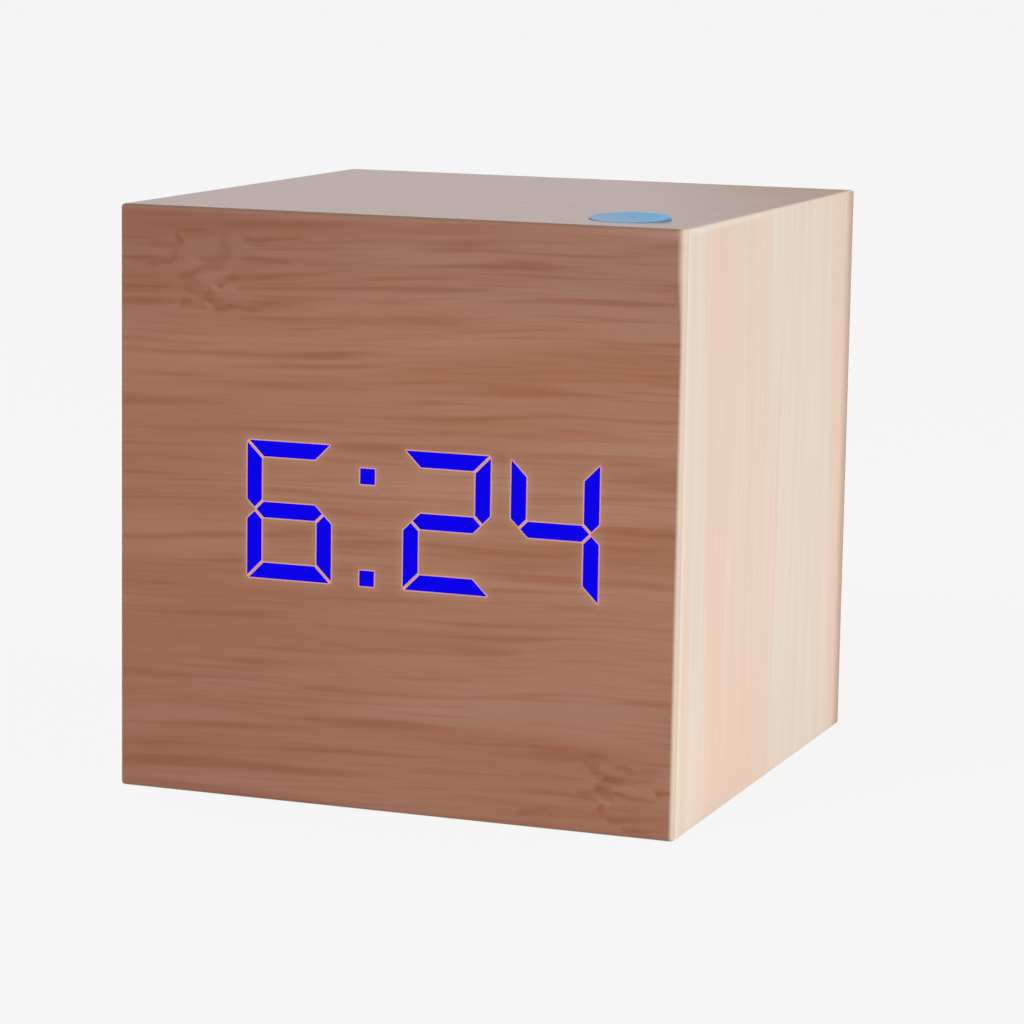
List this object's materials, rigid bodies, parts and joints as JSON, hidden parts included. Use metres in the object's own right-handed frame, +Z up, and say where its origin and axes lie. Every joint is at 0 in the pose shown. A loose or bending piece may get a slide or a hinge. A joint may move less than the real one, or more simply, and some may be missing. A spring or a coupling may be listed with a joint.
{
  "type": "alarm clock",
  "caption": "Cube-shaped bamboo alarm clock with a segment display glowing through its front veneer, a round top key, rear keys, a battery door and a power inlet.",
  "frame": {"origin": "middle of the flat base, on the surface that the clock stands on", "axes": "+X to the right seen from the front, +Y from the front to the rear, +Z up"},
  "size_m": [0.06, 0.06, 0.0604],
  "materials": {
    "brown_bamboo": "satin lacquer",
    "pale_bamboo": "satin lacquer",
    "blue_glow": "lit veneer",
    "key_blue": "glossy",
    "plunger": "moulded",
    "switch_metal": "plain",
    "mask_white": "moulded",
    "lens_clear": "diffusing resin",
    "led_body": "resin",
    "circuit_board": "solder mask",
    "nylon": "moulded",
    "screw_steel": "zinc plated",
    "component_black": "moulded",
    "capacitor_sleeve": "shrunk sleeve",
    "cover_black": "fine texture",
    "cell_wrap": "printed sleeve",
    "contact_nickel": "nickel plated",
    "key_grey": "moulded",
    "lead_red": "insulation",
    "lead_black": "insulation",
    "ribbon_grey": "insulation"
  },
  "bodies": {
    "case": {"front_veneer": "brown_bamboo", "lit_segments": "blue_glow", "front_board": "brown_bamboo", "top_board": "brown_bamboo", "bottom_board": "brown_bamboo", "left_board": "pale_bamboo", "right_board": "pale_bamboo", "corner_blocks": "pale_bamboo", "snooze_switch": "switch_metal", "segment_mask": "mask_white", "segment_lenses": "lens_clear", "segment_leds": "led_body", "display_board": "circuit_board", "board_spacers": "nylon", "board_screws": "screw_steel", "controller_chip": "component_black", "crystal": "switch_metal", "buzzer": "component_black", "capacitor": "capacitor_sleeve", "segment_resistors": "component_black", "rear_cover": "cover_black", "cover_screws": "screw_steel", "battery_cells": "cell_wrap", "contact_plates": "contact_nickel", "contact_springs": "contact_nickel", "control_board": "circuit_board", "key_switches": "switch_metal", "sound_switch": "switch_metal", "inlet_board": "circuit_board", "inlet_shell": "contact_nickel", "inlet_tongue": "component_black", "microphone": "switch_metal", "small_screws": "screw_steel", "positive_lead": "lead_red", "negative_lead": "lead_black", "control_ribbon": "ribbon_grey", "inlet_ribbon": "ribbon_grey"},
    "snooze_button": {"snooze_key": "key_blue", "snooze_plunger": "plunger"},
    "set_button": {"set_key": "key_grey", "set_plunger": "plunger"},
    "up_button": {"up_key": "key_grey", "up_plunger": "plunger"},
    "down_button": {"down_key": "key_grey", "down_plunger": "plunger"},
    "sound_slider": {"sound_lever": "plunger"},
    "door": {"battery_door": "cover_black", "door_latch": "cover_black"}
  },
  "joints": [
    {"name": "snooze_press", "type": "slide", "parent": "case", "child": "snooze_button", "axis": [0, 0, -1], "range_m": [0, 0.0004], "stiffness_N_per_m": 1500, "springref_m": -0.0002},
    {"name": "set_press", "type": "slide", "parent": "case", "child": "set_button", "axis": [0, -1, 0], "range_m": [0, 0.0004], "stiffness_N_per_m": 1500, "springref_m": -0.0002},
    {"name": "up_press", "type": "slide", "parent": "case", "child": "up_button", "axis": [0, -1, 0], "range_m": [0, 0.0004], "stiffness_N_per_m": 1500, "springref_m": -0.0002},
    {"name": "down_press", "type": "slide", "parent": "case", "child": "down_button", "axis": [0, -1, 0], "range_m": [0, 0.0004], "stiffness_N_per_m": 1500, "springref_m": -0.0002},
    {"name": "sound_slide", "type": "slide", "parent": "case", "child": "sound_slider", "axis": [1, 0, 0], "range_m": [0, 0.002]},
    {"name": "door_hinge", "type": "hinge", "parent": "case", "child": "door", "pos_m": [0, 0.0285, 0.0124], "axis": [-1, 0, 0], "range_deg": [0, 60], "deforming": ["door_latch"]}
  ]
}
